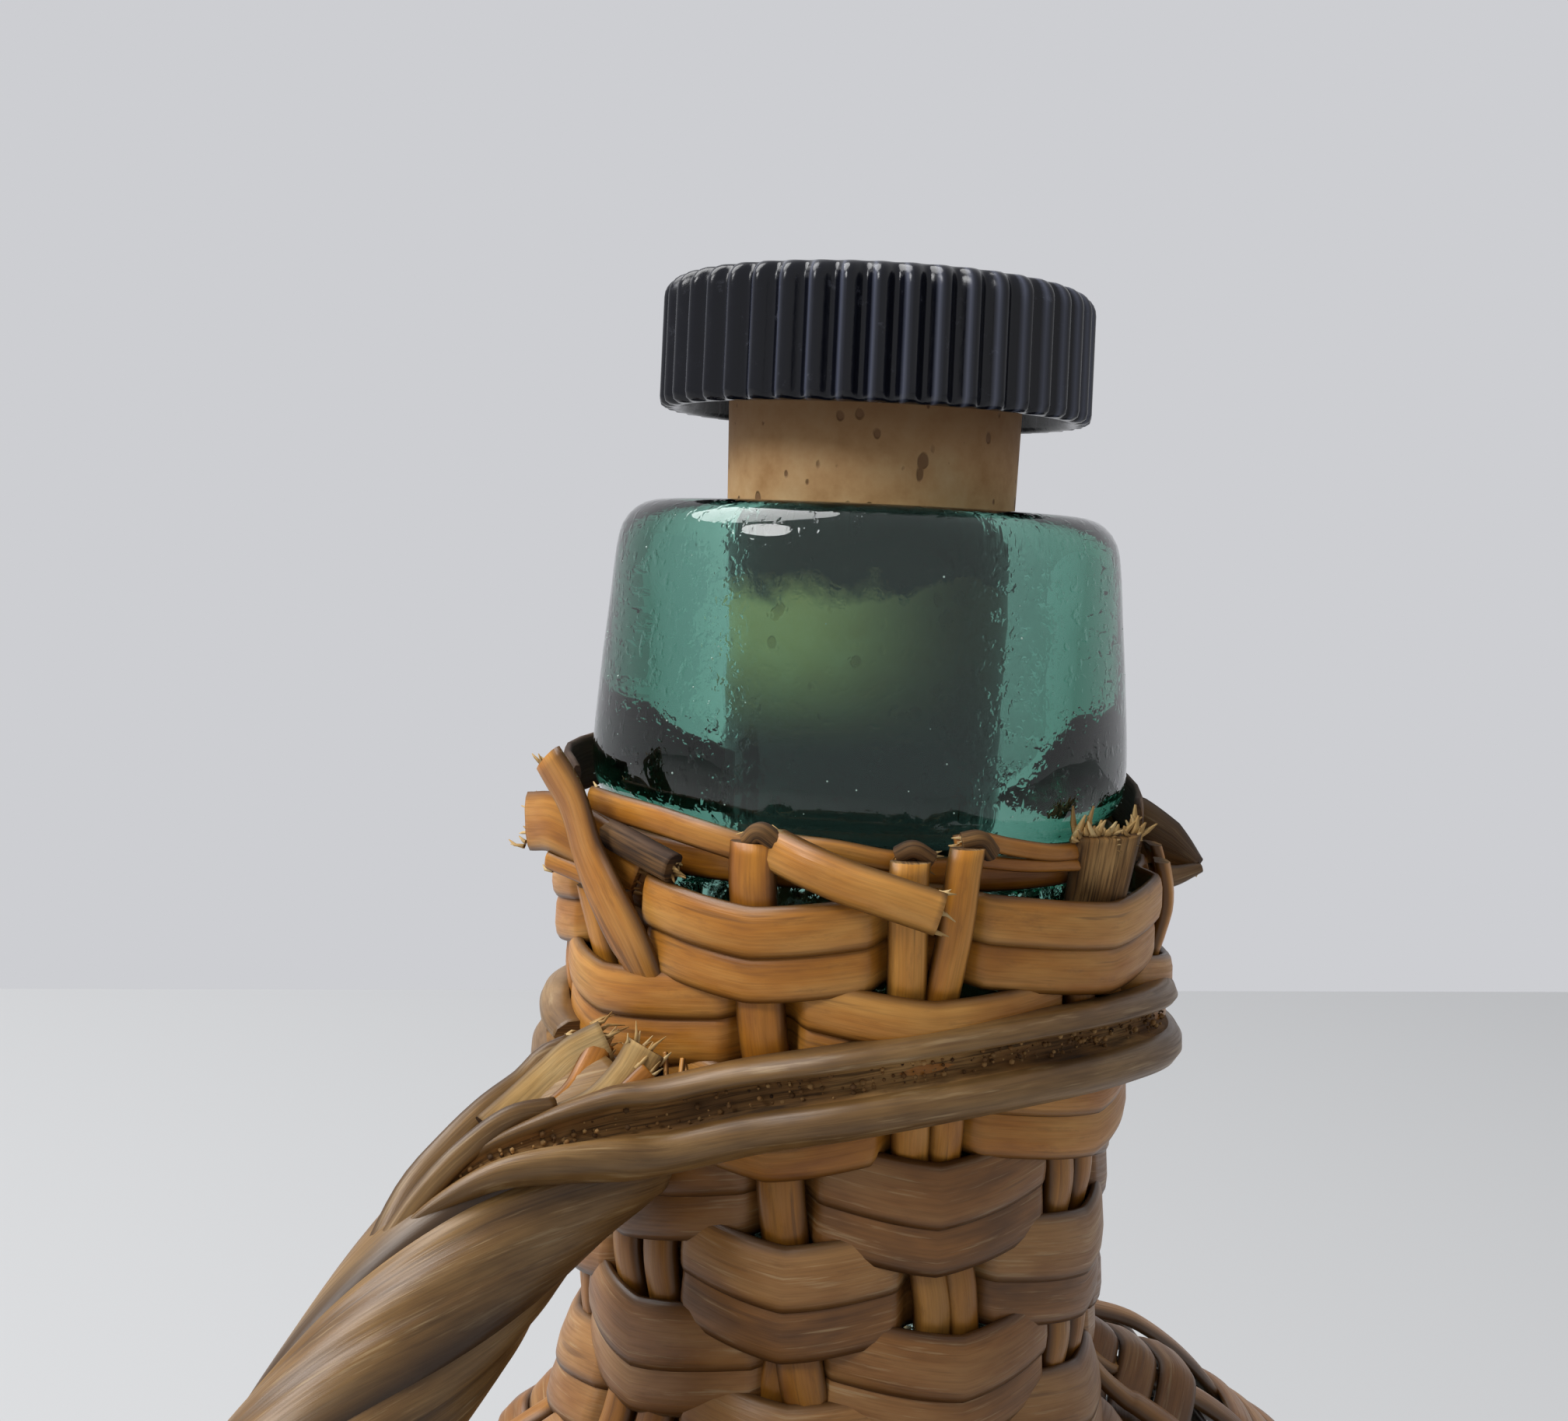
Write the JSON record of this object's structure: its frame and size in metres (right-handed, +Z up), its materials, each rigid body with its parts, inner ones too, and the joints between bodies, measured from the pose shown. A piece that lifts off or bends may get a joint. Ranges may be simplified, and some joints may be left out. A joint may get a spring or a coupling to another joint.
{
  "type": "rattan-wrapped flask",
  "caption": "Flat-sided green glass pilgrim flask in a woven split-cane jacket, with a twisted cane loop on the shoulder and a cork stopper under a ribbed cap.",
  "frame": {"origin": "centre of the foot ring's underside, on the floor, on the neck's axis", "axes": "+Z up along the neck, X along the wide side with the loop handle on -X, Y through the flat faces"},
  "size_m": [0.2016, 0.1018, 0.2929],
  "materials": {
    "green_glass": "gloss",
    "cork": "matt",
    "black_plastic": "gloss",
    "cane_stake": "satin",
    "cane_neck": "satin",
    "cane_body": "satin",
    "cane_handle": "satin"
  },
  "bodies": {
    "flask": {"glass_bottle": "green_glass", "stake_01": "cane_stake", "stake_02": "cane_stake", "stake_03": "cane_stake", "stake_04": "cane_stake", "stake_05": "cane_stake", "stake_06": "cane_stake", "stake_07": "cane_stake", "stake_08": "cane_stake", "stake_09": "cane_stake", "stake_10": "cane_stake", "stake_11": "cane_stake", "stake_12": "cane_stake", "stake_13": "cane_stake", "stake_14": "cane_stake", "stake_15": "cane_stake", "stake_16": "cane_stake", "stake_17": "cane_stake", "stake_18": "cane_stake", "stake_19": "cane_stake", "stake_20": "cane_stake", "neck_row_1": "cane_neck", "neck_row_2": "cane_neck", "neck_row_3": "cane_neck", "neck_row_4": "cane_neck", "neck_row_5": "cane_neck", "neck_row_6": "cane_neck", "body_row_01": "cane_body", "body_row_02": "cane_body", "body_row_03": "cane_body", "body_row_04": "cane_body", "body_row_05": "cane_body", "body_row_06": "cane_body", "body_row_07": "cane_body", "body_row_08": "cane_body", "body_row_09": "cane_body", "body_row_10": "cane_body", "body_row_11": "cane_body", "body_row_12": "cane_body", "body_row_13": "cane_body", "body_row_14": "cane_body", "body_row_15": "cane_body", "body_row_16": "cane_body", "rim_strip": "cane_neck", "neck_binding": "cane_handle", "handle_strand_1": "cane_handle", "handle_strand_2": "cane_handle", "handle_strand_3": "cane_handle", "handle_strand_4": "cane_handle", "foot_ring": "cane_body", "base_mat": "cane_body"},
    "stopper": {"stopper_cork": "cork", "stopper_cap": "black_plastic"}
  },
  "joints": [
    {"name": "stopper_lift", "type": "slide", "parent": "flask", "child": "stopper", "axis": [0, 0, 1], "range_m": [0, 0.05]}
  ]
}
